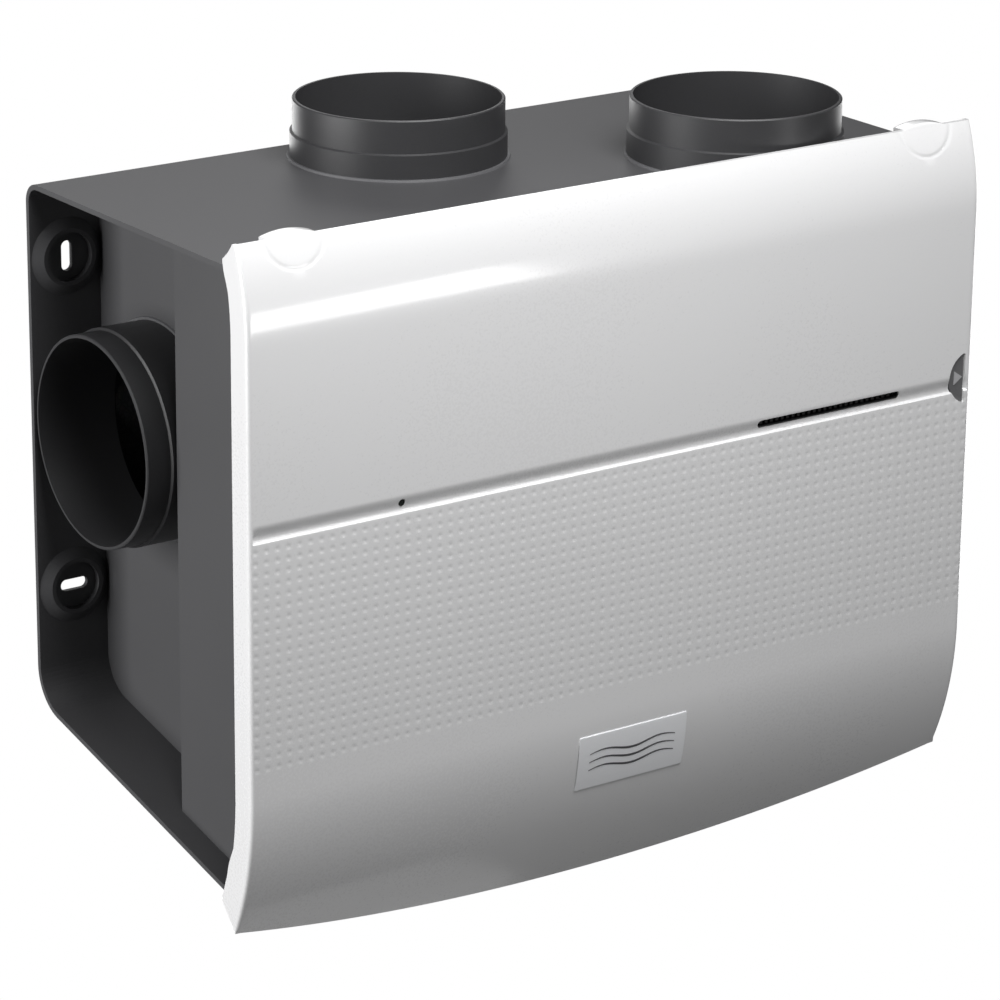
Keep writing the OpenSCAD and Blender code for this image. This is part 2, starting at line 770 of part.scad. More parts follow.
casing_shell();
slot_rings();
left_side_panel();
right_side_panel();
front_panel();
panel_screws();
hinge_blocks();
spigot_top_left();
spigot_top_right();
spigot_left();
spigot_right();
spigot_seals();
foam_front();
foam_body();
core_block();
core_frame();
core_strap();
window_gasket();
left_filter_frame();
left_filter_media();
right_filter_frame();
right_filter_media();
exhaust_fan_housing();
exhaust_fan_motor();
exhaust_fan_impeller();
supply_fan_housing();
supply_fan_motor();
supply_fan_impeller();
fan_screws();
bypass_flap();
bypass_actuator();
condensate_tray();
drain_spout();
board_box();
control_board();
terminal_block();
cable_gland();
sensor_board();
status_lamp();
front_cover();
slot_grille();
light_guide();
hinge_pins();
name_plate();
latch_button();
latch_arrow();
latch_keeper();
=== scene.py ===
import json
import math
import bpy
import bmesh
from mathutils import Matrix, Vector


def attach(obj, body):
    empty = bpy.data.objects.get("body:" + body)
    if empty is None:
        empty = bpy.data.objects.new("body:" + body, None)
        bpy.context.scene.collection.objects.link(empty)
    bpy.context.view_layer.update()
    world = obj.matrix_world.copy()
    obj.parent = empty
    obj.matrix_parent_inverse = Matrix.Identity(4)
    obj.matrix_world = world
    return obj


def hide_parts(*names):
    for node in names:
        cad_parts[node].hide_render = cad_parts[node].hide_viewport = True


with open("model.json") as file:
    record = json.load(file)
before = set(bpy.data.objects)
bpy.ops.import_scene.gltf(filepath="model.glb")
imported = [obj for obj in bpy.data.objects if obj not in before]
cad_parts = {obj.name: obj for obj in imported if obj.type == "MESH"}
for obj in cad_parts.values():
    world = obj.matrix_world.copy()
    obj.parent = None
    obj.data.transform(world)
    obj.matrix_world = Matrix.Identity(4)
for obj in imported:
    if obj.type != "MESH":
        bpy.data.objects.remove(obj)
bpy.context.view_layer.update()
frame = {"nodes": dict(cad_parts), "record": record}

MM = 0.001

# ---------------------------------------------------------------- materials


def new_material(name):
    """A node material, given back with its nodes, its links and its shader."""
    mat = bpy.data.materials.new(name)
    mat.use_nodes = True
    nodes = mat.node_tree.nodes
    return mat, nodes, mat.node_tree.links, nodes["Principled BSDF"]


def node(nodes, kind, **sockets):
    """A new node with inputs set; an underscore in a keyword stands for a space."""
    n = nodes.new(kind)
    for key, value in sockets.items():
        n.inputs[key.replace("_", " ")].default_value = value
    return n


def on_object(nodes, links, *textures):
    """Lets the textures follow the object's own coordinates."""
    coord = nodes.new("ShaderNodeTexCoord")
    for n in textures:
        links.new(coord.outputs["Object"], n.inputs["Vector"])


def colour_ramp(nodes, low, high, low_at=0.0, high_at=1.0):
    """A ramp from one colour to another between two places."""
    ramp = nodes.new("ShaderNodeValToRGB")
    first, last = ramp.color_ramp.elements
    first.position, last.position = low_at, high_at
    first.color, last.color = [*low, 1], [*high, 1]
    return ramp


def weighted_sum(nodes, links, a, share_a, b, share_b):
    """An output that carries a * share_a + b * share_b."""
    part = nodes.new("ShaderNodeMath")
    part.operation = "MULTIPLY"
    part.inputs[1].default_value = share_b
    links.new(b, part.inputs[0])
    total = nodes.new("ShaderNodeMath")
    total.operation = "MULTIPLY_ADD"
    total.inputs[1].default_value = share_a
    links.new(a, total.inputs[0])
    links.new(part.outputs[0], total.inputs[2])
    return total.outputs[0]


def add_bump(nodes, links, shader, height, strength, distance):
    """Bump on the shader, driven by a height output."""
    bump = node(nodes, "ShaderNodeBump", Strength=strength, Distance=distance)
    links.new(height, bump.inputs["Height"])
    links.new(bump.outputs["Normal"], shader.inputs["Normal"])


PATCH_SCALE = 6.0          # slow patches of tone per metre
FINE_SHARE, SLOW_SHARE = 0.55, 0.45
ROUGH_SPREAD = 0.05        # how far the roughness swings each way
COAT_ROUGH = 0.09


def grainy(name, colour, vary, rough, grain, bump, distance=0.0002, metallic=0.0, coat=0.0):
    """A solid finish with fine grain, slow patches of tone and a roughness that follows both."""
    mat, nodes, links, shader = new_material(name)
    fine = node(nodes, "ShaderNodeTexNoise", Scale=grain, Detail=6.0, Roughness=0.6)
    slow = node(nodes, "ShaderNodeTexNoise", Scale=PATCH_SCALE, Detail=3.0, Roughness=0.5)
    on_object(nodes, links, fine, slow)
    tone = weighted_sum(nodes, links, fine.outputs["Fac"], FINE_SHARE,
                        slow.outputs["Fac"], SLOW_SHARE)
    low = [max(0.0, c * (1 - vary)) for c in colour]
    high = [min(1.0, c * (1 + vary)) for c in colour]
    ramp = colour_ramp(nodes, low, high, 0.3, 0.7)
    links.new(tone, ramp.inputs["Fac"])
    links.new(ramp.outputs["Color"], shader.inputs["Base Color"])
    swing = node(nodes, "ShaderNodeMapRange", To_Min=max(0.02, rough - ROUGH_SPREAD),
                 To_Max=min(1.0, rough + ROUGH_SPREAD))
    links.new(tone, swing.inputs["Value"])
    links.new(swing.outputs["Result"], shader.inputs["Roughness"])
    shader.inputs["Metallic"].default_value = metallic
    shader.inputs["Coat Weight"].default_value = coat
    shader.inputs["Coat Roughness"].default_value = COAT_ROUGH
    if bump > 0:
        add_bump(nodes, links, shader, fine.outputs["Fac"], bump, distance)
    return mat


BEADS_PER_METRE = 260


def foam_material(name, colour):
    """Expanded bead foam: closed cells about four millimetres across with dark seams."""
    mat, nodes, links, shader = new_material(name)
    cells = node(nodes, "ShaderNodeTexVoronoi", Scale=BEADS_PER_METRE)
    cells.feature = "DISTANCE_TO_EDGE"
    tint = node(nodes, "ShaderNodeTexVoronoi", Scale=BEADS_PER_METRE)
    on_object(nodes, links, cells, tint)
    ramp = colour_ramp(nodes, [c * 0.45 for c in colour], colour, 0.0, 0.12)
    links.new(cells.outputs["Distance"], ramp.inputs["Fac"])
    mix = nodes.new("ShaderNodeMix")
    mix.data_type = "RGBA"
    mix.blend_type = "MULTIPLY"
    mix.inputs["Factor"].default_value = 0.25
    links.new(ramp.outputs["Color"], mix.inputs["A"])
    links.new(tint.outputs["Color"], mix.inputs["B"])
    links.new(mix.outputs["Result"], shader.inputs["Base Color"])
    shader.inputs["Roughness"].default_value = 0.8
    add_bump(nodes, links, shader, cells.outputs["Distance"], 0.5, 0.0004)
    return mat


WAVE_STEP = math.pi / 10   # a wave texture's scale for one band per metre
BAND_SHARE, FLECK_SHARE = 0.7, 0.3


def striped(name, colour_a, colour_b, rough, per_metre, axis, metallic=0.0):
    """Weave, pleats or plate edges: bands across one axis, broken up by noise."""
    mat, nodes, links, shader = new_material(name)
    wave = node(nodes, "ShaderNodeTexWave", Scale=per_metre * WAVE_STEP, Distortion=0.6,
                Detail=2.0)
    wave.bands_direction = axis
    noise = node(nodes, "ShaderNodeTexNoise", Scale=400.0, Detail=4.0)
    on_object(nodes, links, wave, noise)
    bands = weighted_sum(nodes, links, wave.outputs["Fac"], BAND_SHARE,
                         noise.outputs["Fac"], FLECK_SHARE)
    ramp = colour_ramp(nodes, colour_a, colour_b, 0.2, 0.8)
    links.new(bands, ramp.inputs["Fac"])
    links.new(ramp.outputs["Color"], shader.inputs["Base Color"])
    shader.inputs["Roughness"].default_value = rough
    shader.inputs["Metallic"].default_value = metallic
    add_bump(nodes, links, shader, bands, 0.4, 0.0003)
    return mat


def board_material(name):
    """Solder mask with paler tracks running across it."""
    mat, nodes, links, shader = new_material(name)
    bricks = node(nodes, "ShaderNodeTexBrick", Scale=120, Mortar_Size=0.03,
                  Color1=(0.012, 0.10, 0.045, 1), Color2=(0.010, 0.085, 0.040, 1),
                  Mortar=(0.05, 0.24, 0.10, 1))
    turn = node(nodes, "ShaderNodeMapping", Rotation=(math.radians(90), 0, 0))
    noise = node(nodes, "ShaderNodeTexNoise", Scale=500.0, Detail=2.0)
    on_object(nodes, links, turn, noise)
    links.new(turn.outputs["Vector"], bricks.inputs["Vector"])
    links.new(bricks.outputs["Color"], shader.inputs["Base Color"])
    shader.inputs["Roughness"].default_value = 0.35
    add_bump(nodes, links, shader, noise.outputs["Fac"], 0.15, 0.0001)
    return mat


def lamp_material(name):
    """The unlit light guide: almost black and glossy."""
    mat, nodes, links, shader = new_material(name)
    noise = node(nodes, "ShaderNodeTexNoise", Scale=300.0, Detail=2.0)
    on_object(nodes, links, noise)
    ramp = colour_ramp(nodes, (0.010, 0.012, 0.011), (0.030, 0.036, 0.032))
    links.new(noise.outputs["Fac"], ramp.inputs["Fac"])
    links.new(ramp.outputs["Color"], shader.inputs["Base Color"])
    shader.inputs["Roughness"].default_value = 0.15
    shader.inputs["Coat Weight"].default_value = 0.6
    return mat


MATERIALS = {
    "casing": grainy("casing_paint", (0.060, 0.060, 0.063), 0.10, 0.50, 900, 0.22, 0.00012),
    "spigot": grainy("spigot_plastic", (0.036, 0.036, 0.038), 0.12, 0.42, 1200, 0.18, 0.0001),
    "cover": grainy("cover_gloss", (0.82, 0.82, 0.825), 0.012, 0.28, 700, 0.02, 0.00003,
                    coat=0.9),
    "plate": grainy("plate_satin", (0.93, 0.94, 0.96), 0.02, 0.30, 900, 0.05, 0.00005,
                    coat=0.4),
    "button": grainy("button_grey", (0.125, 0.125, 0.128), 0.08, 0.45, 900, 0.12),
    "grille": grainy("grille_black", (0.016, 0.016, 0.017), 0.2, 0.48, 1100, 0.2),
    "inner_plastic": grainy("inner_plastic", (0.022, 0.022, 0.024), 0.15, 0.5, 1000, 0.25),
    "foam": foam_material("bead_foam", (0.030, 0.030, 0.032)),
    "seal": grainy("seal_rubber", (0.10, 0.10, 0.105), 0.15, 0.55, 800, 0.2),
    "exchanger": striped("exchanger_plates", (0.30, 0.31, 0.33), (0.72, 0.73, 0.75), 0.32, 280,
                         "Y", metallic=1.0),
    "webbing": striped("strap_weave", (0.25, 0.015, 0.012), (0.50, 0.04, 0.03), 0.75, 900, "Z"),
    "filter_paper": striped("filter_paper", (0.60, 0.62, 0.60), (0.82, 0.84, 0.82), 0.85, 500,
                            "Y"),
    "fan_plastic": grainy("fan_plastic", (0.045, 0.048, 0.055), 0.12, 0.42, 900, 0.15),
    "steel": grainy("zinc_steel", (0.52, 0.53, 0.54), 0.12, 0.32, 1500, 0.2, metallic=1.0),
    "tray": grainy("tray_plastic", (0.09, 0.095, 0.10), 0.1, 0.4, 900, 0.15),
    "board": board_material("circuit_board"),
    "lamp": lamp_material("light_guide_clear"),
}

SLOTS = {s["node"]: s["material_slot"] for s in frame["record"]["subparts"]}


def shade(obj, angle):
    """Smooth shading that keeps edges sharper than the angle crisp."""
    bm = bmesh.new()
    bm.from_mesh(obj.data)
    limit = math.radians(angle)
    for f in bm.faces:
        f.smooth = True
    for e in bm.edges:
        if len(e.link_faces) == 2:
            e.smooth = e.calc_face_angle(0.0) < limit
    bm.to_mesh(obj.data)
    bm.free()


def add_object(name, bm, body, slot, replaces=(), sharp=40):
    """A new piece made of the mesh, riding on a body, in place of the named nodes if any."""
    mesh = bpy.data.meshes.new(name)
    bmesh.ops.recalc_face_normals(bm, faces=bm.faces[:])
    bm.to_mesh(mesh)
    bm.free()
    obj = bpy.data.objects.new(name, mesh)
    bpy.context.scene.collection.objects.link(obj)
    mesh.materials.append(MATERIALS[slot])
    shade(obj, sharp)
    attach(obj, body)
    if replaces:
        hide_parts(*replaces)
    return obj


def bevel(obj, width):
    """Rounds the sharp edges of a CAD piece."""
    mod = obj.modifiers.new("edge_round", "BEVEL")
    mod.width = width
    mod.segments = 2
    mod.limit_method = "ANGLE"
    mod.angle_limit = math.radians(40)
    mod.harden_normals = True


for name, obj in frame["nodes"].items():
    obj.data.materials.clear()
    obj.data.materials.append(MATERIALS[SLOTS[name]])

arrow_paint = grainy("arrow_paint", (0.42, 0.42, 0.43), 0.03, 0.4, 900, 0.05)
frame["nodes"]["latch_arrow"].data.materials[0] = arrow_paint

for width, names in ((0.0005, ("casing_shell", "left_side_panel", "right_side_panel")),
                     (0.0006, ("spigot_top_left", "spigot_top_right", "spigot_left",
                               "spigot_right")),
                     (0.0003, ("latch_button",)),
                     (0.0004, ("hinge_blocks",))):
    for name in names:
        bevel(frame["nodes"][name], width)

# ---------------------------------------------------------------- front cover
# From here to the stage all lengths are millimetres: +X right, +Y into the wall, +Z up.

FACE_Y = -249.5                     # the flat part of the face
HALF = 254.0                        # half the cover's width
SKIN = 2.6                          # wall thickness
CORNER, CORNER_LEAST = 2.2, 0.25    # radius of the front corners, least where a return ends
RETURN_LEAST = 0.3                  # least depth of a side return
TOP = 165.0
LOW = -256.5                        # lowest point of the curved lower edge
RISE = 26.0                         # how much higher that edge is at the sides
SMILE_R = (HALF * HALF + RISE * RISE) / (2 * RISE)
CURVE_TOP, R_TOP = 113.0, 136.0     # above this height the face curves back
CURVE_LOW, R_LOW = -147.0, 200.0    # and below this one

GROOVE_TOP, GROOVE_LOW = 12.5, 1.4
GROOVE_FLOOR_TOP, GROOVE_FLOOR_LOW = 3.6, 2.7
GROOVE_DEPTH = 2.2

DIMPLE_ACROSS, DIMPLE_DOWN = 7.05, 6.6
DIMPLE_TOP = -3.0
DIMPLE_ROWS, DIMPLE_COLS = 20, 72
DIMPLE_R, DIMPLE_DEPTH = 1.5, 0.5

NOTCH_Z, NOTCH_R, NOTCH_EDGE = 10.0, 16.3, 249.6
SLOT_A, SLOT_B, SLOT_Z, SLOT_R = 95.0, 197.0, 8.0, 2.3
LAMP_X, LAMP_Z, LAMP_R = -155.0, 7.5, 2.2

TONGUE_X, TONGUE_Z, TONGUE_R = 218.5, 168.0, 18.9
RING_DEPTH, RING_GAP, RING_HALF = 0.4, 0.6, 1.3
DISH_DEPTH, DISH_RUN = 0.12, 9


def bow(z):
    """How far the face lies behind its flat plane at height z."""
    if z > CURVE_TOP:
        return R_TOP - math.sqrt(R_TOP ** 2 - (z - CURVE_TOP) ** 2)
    if z < CURVE_LOW:
        return R_LOW - math.sqrt(R_LOW ** 2 - (CURVE_LOW - z) ** 2)
    return 0.0


def smooth(t):
    """An S-shaped step from 0 to 1."""
    t = min(1.0, max(0.0, t))
    return t * t * (3 - 2 * t)


def groove(z):
    """Depth of the cross groove: a soft valley above, a crisp lip below."""
    if z >= GROOVE_TOP or z <= GROOVE_LOW:
        return 0.0
    if z > GROOVE_FLOOR_TOP:
        run = (GROOVE_TOP - z) / (GROOVE_TOP - GROOVE_FLOOR_TOP)
        return GROOVE_DEPTH * smooth(run) ** 1.15
    if z > GROOVE_FLOOR_LOW:
        return GROOVE_DEPTH
    return GROOVE_DEPTH * smooth((z - GROOVE_LOW) / (GROOVE_FLOOR_LOW - GROOVE_LOW))


def dimple(x, z):
    """Depth of the small round dimples on the lower half."""
    i = round(x / DIMPLE_ACROSS - 0.5) + 0.5
    j = round((DIMPLE_TOP - z) / DIMPLE_DOWN)
    if abs(i) > DIMPLE_COLS / 2 - 0.4 or not 0 <= j < DIMPLE_ROWS:
        return 0.0
    dx, dz = x - i * DIMPLE_ACROSS, z - (DIMPLE_TOP - j * DIMPLE_DOWN)
    q = (dx * dx + dz * dz) / (DIMPLE_R * DIMPLE_R)
    return DIMPLE_DEPTH * (1 - q) ** 2 if q < 1 else 0.0


def tongue_ring(x, z):
    """The shallow channel round each thumb pad, and the pad's own slight dish."""
    d = math.hypot(abs(x) - TONGUE_X, z - TONGUE_Z)
    ring = RING_DEPTH * max(0.0, 1 - ((d - TONGUE_R - RING_GAP) / RING_HALF) ** 2)
    dish = DISH_DEPTH * smooth((TONGUE_R - d) / DISH_RUN) if d < TONGUE_R else 0.0
    return ring + dish


def smile(x):
    """Height of the cover's lower edge at x."""
    return SMILE_R + LOW - math.sqrt(SMILE_R ** 2 - x * x)


def face_y(x, z):
    """The face with everything that is pressed into it."""
    return FACE_Y + bow(z) + groove(z) + dimple(x, z) + tongue_ring(x, z)


def rear_y(z):
    """Rear edge of a side return at height z: shallow at both ends, deeper towards the foot."""
    base = FACE_Y + bow(z)
    pts = [(TOP, base + 4.0), (155.0, -225.5), (140.0, base + 16.5), (-180.0, base + 16.5),
           (-198.0, -223.5), (-215.0, -217.5), (-229.5, -231.0), (-231.0, base + 0.4)]
    for (za, ya), (zb, yb) in zip(pts, pts[1:]):
        if za >= z >= zb:
            t = (za - z) / (za - zb)
            return max(base + RETURN_LEAST, ya + (yb - ya) * t)
    return base + RETURN_LEAST


def spread(a, b, step):
    """Even steps of about the given size from a towards b, without b itself."""
    n = max(1, round(abs(b - a) / step))
    return [a + (b - a) * i / n for i in range(n)]


def row_heights(x, level_rows, low_steps):
    """Every row's height at x: level rows, then rows that close in on the curved lower edge."""
    end = smile(min(HALF, abs(x)))
    return level_rows + [CURVE_LOW + (end - CURVE_LOW) * i / low_steps
                         for i in range(low_steps + 1)]


FLAT_STEPS = 4                      # a return's flat part, then its rounded corner
CORNER_STEPS = 5
SIDE_POINTS = FLAT_STEPS + CORNER_STEPS + 1


def corner_turn(k):
    """How far round the corner point k of a return is."""
    return math.radians(90 * max(0, k - FLAT_STEPS) / CORNER_STEPS)


def side_point(k, z):
    """Point k of the left return and its rounded front corner, rear edge first."""
    front = FACE_Y + bow(z)
    back = rear_y(z)
    r = min(CORNER, max(CORNER_LEAST, back - front - 0.05))
    if k < FLAT_STEPS:
        return -HALF, front + r + max(0.0, back - front - r) * (FLAT_STEPS - k) / FLAT_STEPS
    a = corner_turn(k)
    return -HALF + r - r * math.cos(a), front + r - r * math.sin(a)


def inner_y(z):
    """Inner skin of the cover at height z."""
    if z > CURVE_TOP:
        back = R_TOP - math.sqrt((R_TOP - SKIN) ** 2 - (z - CURVE_TOP) ** 2)
    elif z < CURVE_LOW:
        back = R_LOW - math.sqrt((R_LOW - SKIN) ** 2 - (CURVE_LOW - z) ** 2)
    else:
        back = SKIN
    return FACE_Y + back + groove(z)


def hole_distance(x, z):
    """Distance to the nearest opening's edge, negative inside an opening."""
    run = max(SLOT_A - x, 0.0, x - SLOT_B)
    slot = math.hypot(run, z - SLOT_Z) - SLOT_R
    lamp = math.hypot(x - LAMP_X, z - LAMP_Z) - LAMP_R
    notch = max(math.hypot(x - HALF, z - NOTCH_Z) - NOTCH_R, x - NOTCH_EDGE)
    return min(slot, lamp, notch)


def onto_edge(x, z):
    """The point moved to the nearest opening's edge, along the distance's slope."""
    h = 0.01
    for _ in range(3):
        d = hole_distance(x, z)
        gx = (hole_distance(x + h, z) - hole_distance(x - h, z)) / (2 * h)
        gz = (hole_distance(x, z + h) - hole_distance(x, z - h)) / (2 * h)
        n = max(0.3, math.hypot(gx, gz))
        x, z = x - d * gx / n, z - d * gz / n
    return x, z


def new_verts(bm, points):
    """Mesh points at places given in millimetres."""
    return [bm.verts.new((x * MM, y * MM, z * MM)) for x, y, z in points]


def join_loops(bm, loops):
    """Quads between each closed loop of mesh points and the next."""
    for a, b in zip(loops, loops[1:]):
        for k in range(len(a)):
            n = (k + 1) % len(a)
            bm.faces.new((a[k], a[n], b[n], b[k]))


def sheet_of(bm, points, cut=None):
    """Quads over a grid of [row][column] points; cut(i, j) leaves a quad out."""
    verts = [new_verts(bm, row) for row in points]
    for j in range(len(verts) - 1):
        for i in range(len(verts[0]) - 1):
            if cut is None or not cut(i, j):
                bm.faces.new((verts[j][i], verts[j][i + 1], verts[j + 1][i + 1], verts[j + 1][i]))
    return verts


def cut_sheet(bm, xs, zs, y_of):
    """A grid with the openings cut out, its edges moved on to their true outline.

    Gives back the pieces of edge round the openings.
    """
    inside = [[hole_distance((xs[i] + xs[i + 1]) / 2, (zs[j] + zs[j + 1]) / 2) < 0
               for i in range(len(xs) - 1)] for j in range(len(zs) - 1)]
    points = []
    rim = []
    for j, z0 in enumerate(zs):
        row = []
        for i, x0 in enumerate(xs):
            near = [inside[b][a] for b in (j - 1, j) for a in (i - 1, i)
                    if 0 <= b < len(zs) - 1 and 0 <= a < len(xs) - 1]
            x, z = x0, z0
            if any(near) and not all(near):
                x, z = onto_edge(x0, z0)
            row.append((x, y_of(x, z), z))
        points.append(row)
    for j in range(len(zs) - 1):
        for i in range(len(xs) - 1):
            if not inside[j][i]:
                continue
            for a, b, di, dj in (((i, j), (i + 1, j), 0, -1),
                                 ((i, j + 1), (i + 1, j + 1), 0, 1),
                                 ((i, j), (i, j + 1), -1, 0),
                                 ((i + 1, j), (i + 1, j + 1), 1, 0)):
                ii, jj = i + di, j + dj
                if 0 <= ii < len(xs) - 1 and 0 <= jj < len(zs) - 1 and not inside[jj][ii]:
                    rim.append((points[a[1]][a[0]], points[b[1]][b[0]]))
    sheet_of(bm, points, lambda i, j: inside[j][i])
    return rim


COL, ROW = DIMPLE_ACROSS / 6, DIMPLE_DOWN / 6
COLUMNS = [k * COL for k in range(-213, 214)]
EDGE = HALF - SKIN
INNER_COLUMNS = [-EDGE] + COLUMNS + [EDGE]

TONGUE_END = 147                    # fine rows above, for the channels round the pads
STRIP_TOP, STRIP_LOW = 28, -8.8     # the strip with the groove and the openings
FINE_FROM = 13                      # finer rows in the groove itself
DIMPLE_END = -131.0
TOP_ROWS = spread(TOP, TONGUE_END, 0.75) + spread(TONGUE_END, STRIP_TOP, 4.5)
MID_ROWS = (spread(STRIP_TOP, FINE_FROM, 1.0) + spread(FINE_FROM, 0.0, 0.5)
            + spread(0.0, STRIP_LOW, ROW))
LOW_ROWS = spread(STRIP_LOW, DIMPLE_END, ROW) + spread(DIMPLE_END, CURVE_LOW, 4)
ALL_ROWS = TOP_ROWS + MID_ROWS + LOW_ROWS
INNER_TOP_STEP, INNER_LOW_STEP = 8, 20
LOW_STEPS, INNER_LOW_STEPS = 28, 10  # rows between the curve's start and the lower edge
WELD = 0.02                         # mesh points closer than this become one
INNER_LIP = 0.4                     # how far the return's inside starts behind its edge


def side_return(bm, side):
    """One side return with its rounded front corner, its inside and its rear edge."""
    points = []
    heights = [row_heights(-HALF + CORNER * (1 - math.cos(corner_turn(k))), ALL_ROWS, LOW_STEPS)
               for k in range(SIDE_POINTS)]
    last = side * COLUMNS[0]
    last_heights = row_heights(last, ALL_ROWS, LOW_STEPS)
    for j, last_z in enumerate(last_heights):
        row = []
        for k in range(SIDE_POINTS):
            z = heights[k][j]
            x, y = side_point(k, z)
            row.append((-side * x, y, z))
        row.append((-last, face_y(last, last_z), last_z))
        points.append(row)
    sheet_of(bm, points)
    inner = []
    for z in heights[0]:
        x, y = side_point(0, z)
        behind = max(y, min(inner_y(z), y + INNER_LIP))
        inner.append([(-side * x, y, z), (-side * (x + SKIN), behind, z),
                      (-side * (x + SKIN), min(behind, inner_y(z)), z)])
    sheet_of(bm, inner)


def cover_shell():
    """The whole cover as one mesh: face, openings, side returns, inner skin and rims."""
    bm = bmesh.new()
    for side in (-1, 1):
        side_return(bm, side)
    # the face: top, middle strip with the openings, dimpled and curved lower part
    sheet_of(bm, [[(x, face_y(x, z), z) for x in COLUMNS] for z in TOP_ROWS + MID_ROWS[:1]])
    rim = cut_sheet(bm, COLUMNS, MID_ROWS + LOW_ROWS[:1], face_y)
    low = [row_heights(x, LOW_ROWS, LOW_STEPS) for x in COLUMNS]
    sheet_of(bm, [[(x, face_y(x, low[i][j]), low[i][j]) for i, x in enumerate(COLUMNS)]
                  for j in range(len(low[0]))])
    for a, b in rim:
        sheet_of(bm, [[a, b], [(a[0], inner_y(a[2]), a[2]), (b[0], inner_y(b[2]), b[2])]])
    # inner skin, with long rows except round the openings
    across = INNER_COLUMNS
    sheet_of(bm, [[(x, inner_y(z), z) for x in across]
                  for z in spread(TOP, STRIP_TOP, INNER_TOP_STEP) + MID_ROWS[:1]])
    cut_sheet(bm, across, MID_ROWS + LOW_ROWS[:1], lambda x, z: inner_y(z))
    inner_low = LOW_ROWS[:1] + spread(-INNER_LOW_STEP, CURVE_LOW, INNER_LOW_STEP)
    low = [row_heights(x, inner_low, INNER_LOW_STEPS) for x in across]
    sheet_of(bm, [[(x, inner_y(low[i][j]), low[i][j]) for i, x in enumerate(across)]
                  for j in range(len(low[0]))])
    # top and bottom rims, and the top rim's ends over the returns
    for z_of in (lambda x: TOP, smile):
        rims = [(x, z_of(x)) for x in across]
        sheet_of(bm, [[(x, face_y(x, z), z) for x, z in rims],
                      [(x, inner_y(z), z) for x, z in rims]])
    ends = [side_point(k, TOP) for k in range(SIDE_POINTS)]
    for side in (-1, 1):
        sheet_of(bm, [[(-side * x, y, TOP) for x, y in ends],
                      [(-side * max(x, -EDGE), max(y, min(inner_y(TOP), y + SKIN)), TOP)
                       for x, y in ends]])
    bmesh.ops.remove_doubles(bm, verts=bm.verts[:], dist=WELD * MM)
    return bm


add_object("cover_shell", cover_shell(), "cover", "cover", ["front_cover"], sharp=42)

PAD_HALF, PAD_STEPS = 15, 24        # the pad's half width and its columns
ARC_Z, ARC_R = 117.5, 50            # its top edge is an arc
PAD_FOOT, PAD_RIM = 160, 165.01     # it starts inside the cover and shows above the rim
PAD_RELIEF = 0.8                    # how much of the channel and dish shows above the rim
HOOK_FRONT, HOOK_BACK = -231.0, -229.0
LUG_SIZE = (26, 4, 14)              # the lug under each hook, behind the cover
LUG_Y, LUG_Z = -231.0, 155.0
LUG_ROUND = 0.8


def tongue(bm, centre):
    """Thumb tongue: the pad runs on over the cover's top edge and hooks back over the casing."""
    loops = []
    for i in range(PAD_STEPS + 1):
        x = -PAD_HALF + 2 * PAD_HALF * i / PAD_STEPS
        peak = ARC_Z + math.sqrt(ARC_R ** 2 - x * x)
        line = []
        for z in (PAD_FOOT, (PAD_FOOT + TOP) / 2, PAD_RIM, PAD_RIM + (peak - PAD_RIM) * 0.5,
                  peak - 0.25):
            sunk = RING_DEPTH if z < TOP else tongue_ring(centre + x, z) * PAD_RELIEF
            line.append((FACE_Y + bow(z) + sunk, z))
        y_front = line[-1][0]
        line += [(y_front + 0.5, peak - 0.05), (y_front + 1.2, peak), (HOOK_FRONT, peak),
                 (HOOK_BACK - 0.6, peak - 0.15), (HOOK_BACK, peak - 0.8), (HOOK_BACK, PAD_FOOT)]
        loops.append(new_verts(bm, [(centre + x, y, z) for y, z in line]))
    join_loops(bm, loops)
    bm.faces.new(loops[0])
    bm.faces.new(list(reversed(loops[-1])))
    lug = bmesh.ops.create_cube(bm, size=1.0)["verts"]
    for v in lug:
        v.co = Vector((centre + v.co.x * LUG_SIZE[0], LUG_Y + v.co.y * LUG_SIZE[1],
                       LUG_Z + v.co.z * LUG_SIZE[2])) * MM
    edges = list({e for v in lug for e in v.link_edges})
    bmesh.ops.bevel(bm, geom=edges, offset=LUG_ROUND * MM, segments=2, affect="EDGES")


bm = bmesh.new()
for centre in (-TONGUE_X, TONGUE_X):
    tongue(bm, centre)
add_object("cover_tongues", bm, "cover", "cover", sharp=50)

LINING_FRONT, LINING_BACK = -247.9, -244.8
LINING_GAP, LINING_WALL = 0.03, 0.5


def lining(bm, outline_of):
    """A thin dark tube that lines an opening in the cover."""
    rings = [new_verts(bm, [(x, y, z) for x, z in outline_of(inset)])
             for inset, y in ((LINING_GAP, LINING_FRONT), (LINING_GAP, LINING_BACK),
                              (LINING_WALL, LINING_BACK), (LINING_WALL, LINING_FRONT))]
    join_loops(bm, rings + rings[:1])


def arc(x, z, r, start, sweep, steps):
    """Points along an arc, both ends included; the angles are in degrees."""
    turns = [math.radians(start + sweep * k / steps) for k in range(steps + 1)]
    return [(x + r * math.cos(a), z + r * math.sin(a)) for a in turns]


def slot_outline(inset):
    """Outline of the long slot, drawn in by the inset."""
    r = SLOT_R - inset
    return arc(SLOT_B, SLOT_Z, r, -90, 180, 14) + arc(SLOT_A, SLOT_Z, r, 90, 180, 14)


def lamp_outline(inset):
    """Outline of the lamp hole, drawn in by part of the inset so that the light guide fits."""
    return arc(LAMP_X, LAMP_Z, LAMP_R - inset * 0.3, 0, 350, 35)


bm = bmesh.new()
lining(bm, slot_outline)
lining(bm, lamp_outline)
add_object("cover_hole_linings", bm, "cover", "grille")

# ---------------------------------------------------------------- plate on the cover

